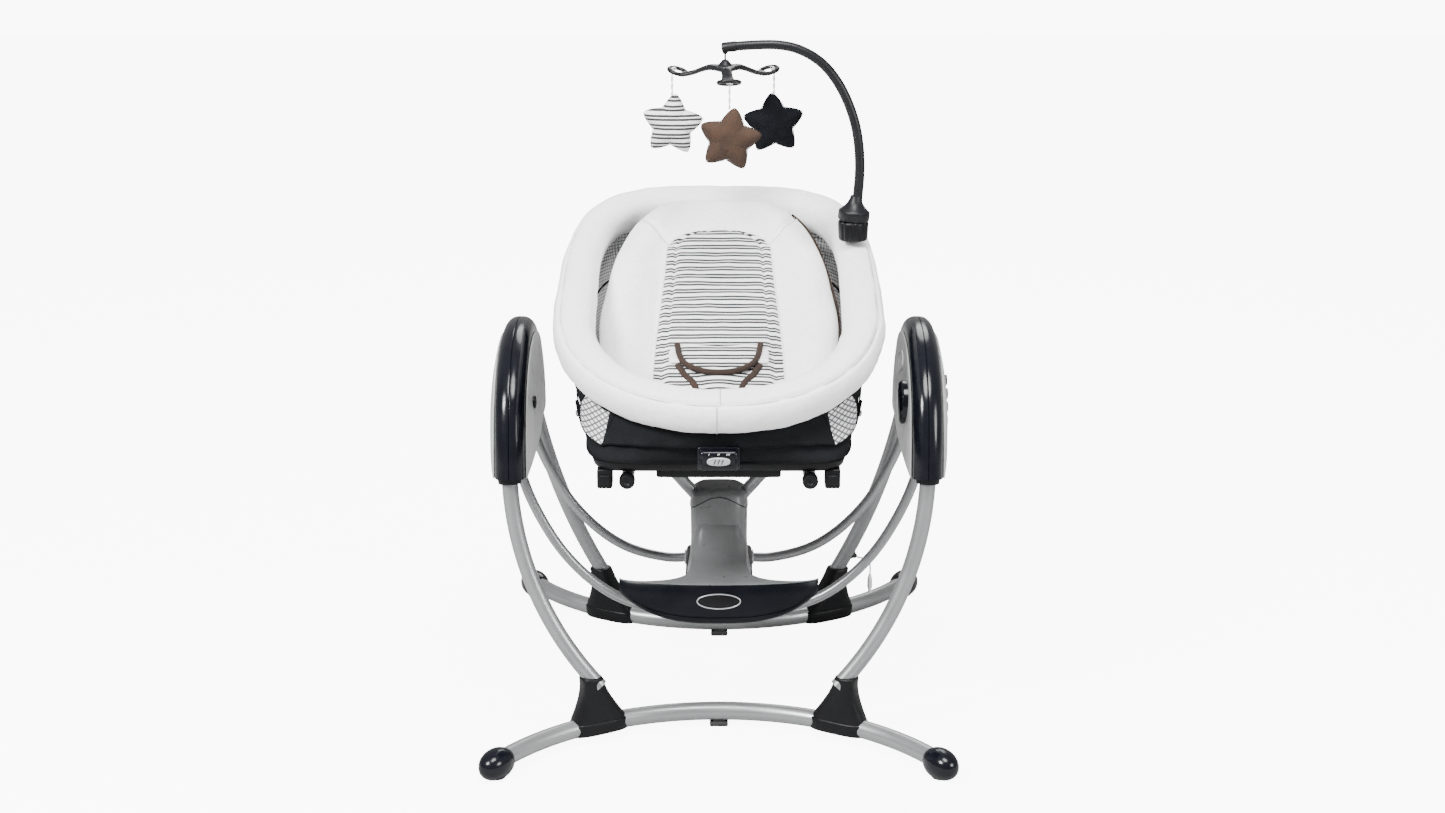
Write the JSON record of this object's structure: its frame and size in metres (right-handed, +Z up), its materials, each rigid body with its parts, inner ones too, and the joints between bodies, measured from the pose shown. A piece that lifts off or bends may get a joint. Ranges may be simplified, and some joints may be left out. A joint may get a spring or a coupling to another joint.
{
  "type": "baby swing",
  "caption": "Gliding baby swing: arched tube frame, pedestal on two U-shaped hangers, and a lift-off padded bassinet seat with a star mobile.",
  "frame": {"origin": "on the floor, in the middle of the footprint", "axes": "+Z up, -Y towards someone facing the swing, +X to that person's right"},
  "size_m": [0.7222, 0.8244, 1.0358],
  "materials": {
    "silver_paint": "satin silver-grey paint",
    "black_plastic": "near-black navy moulding, soft gloss",
    "silver_plastic": "pale grey moulding, satin",
    "grey_plastic": "mid-grey moulding, soft gloss",
    "steel": "bare steel",
    "dark_button": "matt soft-touch key",
    "charcoal_fabric": "woven polyester with mesh windows",
    "white_plush": "short-pile plush",
    "striped_fabric": "jersey with thin black stripes",
    "brown_fabric": "brown jersey",
    "navy_fabric": "dark navy jersey",
    "white_plastic": "white cable sleeve and connector"
  },
  "bodies": {
    "frame": {"front_base_tube": "silver_paint", "rear_base_tube": "silver_paint", "foot_front_left": "black_plastic", "foot_front_right": "black_plastic", "foot_rear_left": "black_plastic", "foot_rear_right": "black_plastic", "front_center_pad": "black_plastic", "rear_center_pad": "black_plastic", "leg_socket_front_left": "black_plastic", "leg_socket_front_right": "black_plastic", "leg_socket_rear_left": "black_plastic", "leg_socket_rear_right": "black_plastic", "leg_front_left": "silver_paint", "leg_front_right": "silver_paint", "leg_rear_left": "silver_paint", "leg_rear_right": "silver_paint", "tower_outer_half_left": "black_plastic", "tower_outer_half_right": "black_plastic", "tower_inner_half_left": "black_plastic", "tower_inner_half_right": "black_plastic", "tower_outer_panel_left": "silver_plastic", "tower_outer_panel_right": "silver_plastic", "tower_inner_panel_left": "silver_plastic", "tower_inner_panel_right": "silver_plastic", "pivot_pin_front_left": "steel", "pivot_pin_front_right": "steel", "pivot_pin_rear_left": "steel", "pivot_pin_rear_right": "steel", "drive_motor": "steel", "drive_hub_cover": "black_plastic", "cord_grommet": "black_plastic", "power_cord": "white_plastic", "cord_connector": "white_plastic"},
    "front_hanger_arm": {"front_hanger": "silver_paint"},
    "rear_hanger_arm": {"rear_hanger": "silver_paint"},
    "glider": {"glider_chassis": "black_plastic", "pedestal_shell": "grey_plastic", "pod_cover": "black_plastic", "seat_cradle": "black_plastic"},
    "seat": {"seat_tray": "black_plastic", "rocker_frame": "silver_paint", "rocker_cap_left": "black_plastic", "rocker_cap_right": "black_plastic", "vibration_unit": "black_plastic", "rim_tube": "steel", "rim_cushion": "white_plush", "bassinet_shell": "charcoal_fabric", "insert_pad": "white_plush", "harness": "striped_fabric", "mobile_clamp": "black_plastic"},
    "vibration_slider": {"vibration_switch": "silver_plastic"},
    "mobile_mast": {"mobile_arm": "black_plastic"},
    "mobile_spinner": {"mobile_hub": "black_plastic"},
    "striped_star": {"star_striped": "striped_fabric"},
    "brown_star": {"star_brown": "brown_fabric"},
    "navy_star": {"star_navy": "navy_fabric"},
    "power_key": {"button_power": "dark_button"},
    "faster_key": {"button_faster": "dark_button"},
    "slower_key": {"button_slower": "dark_button"},
    "timer_key": {"button_timer": "dark_button"}
  },
  "joints": [
    {"name": "front_hanger_pivot", "type": "hinge", "parent": "frame", "child": "front_hanger_arm", "pos_m": [0, -0.12, 0.51], "axis": [1, 0, 0], "range_deg": [-9, 9]},
    {"name": "rear_hanger_pivot", "type": "hinge", "parent": "frame", "child": "rear_hanger_arm", "pos_m": [0, 0.12, 0.51], "axis": [1, 0, 0], "range_deg": [-9.5, 9.5]},
    {"name": "glider_pivot", "type": "hinge", "parent": "front_hanger_arm", "child": "glider", "pos_m": [0, -0.12, 0.168], "axis": [1, 0, 0], "range_deg": [-9.5, 9.5]},
    {"name": "seat_lift", "type": "slide", "parent": "glider", "child": "seat", "axis": [0, 0, 1], "range_m": [0, 0.1]},
    {"name": "vibration_slide", "type": "slide", "parent": "seat", "child": "vibration_slider", "axis": [1, 0, 0], "range_m": [-0.008, 0.008]},
    {"name": "mobile_arm_swivel", "type": "hinge", "parent": "seat", "child": "mobile_mast", "pos_m": [0.217, 0.12, 0.7463], "axis": [0, 0, 1], "range_deg": [-80, 80]},
    {"name": "mobile_spin", "type": "hinge", "parent": "mobile_mast", "child": "mobile_spinner", "pos_m": [0.01, 0.12, 0.99], "axis": [0, 0, 1], "continuous": true},
    {"name": "striped_star_swing", "type": "hinge", "parent": "mobile_spinner", "child": "striped_star", "pos_m": [-0.0754, 0.1617, 0.9776], "axis": [1, 0, 0], "range_deg": [-20, 20]},
    {"name": "brown_star_swing", "type": "hinge", "parent": "mobile_spinner", "child": "brown_star", "pos_m": [0.0166, 0.0252, 0.9776], "axis": [1, 0, 0], "range_deg": [-20, 20]},
    {"name": "navy_star_swing", "type": "hinge", "parent": "mobile_spinner", "child": "navy_star", "pos_m": [0.0888, 0.1731, 0.9776], "axis": [1, 0, 0], "range_deg": [-20, 20]},
    {"name": "power_press", "type": "slide", "parent": "frame", "child": "power_key", "axis": [-1, 0, 0], "range_m": [0, 0.0012], "stiffness_N_per_m": 600},
    {"name": "faster_press", "type": "slide", "parent": "frame", "child": "faster_key", "axis": [-1, 0, 0], "range_m": [0, 0.0012], "stiffness_N_per_m": 600},
    {"name": "slower_press", "type": "slide", "parent": "frame", "child": "slower_key", "axis": [-1, 0, 0], "range_m": [0, 0.0012], "stiffness_N_per_m": 600},
    {"name": "timer_press", "type": "slide", "parent": "frame", "child": "timer_key", "axis": [-1, 0, 0], "range_m": [0, 0.0012], "stiffness_N_per_m": 600}
  ],
  "couplings": [
    {"joint": "glider_pivot", "follows": "front_hanger_pivot", "ratio": -1},
    {"joint": "rear_hanger_pivot", "follows": "front_hanger_pivot", "ratio": 1}
  ]
}
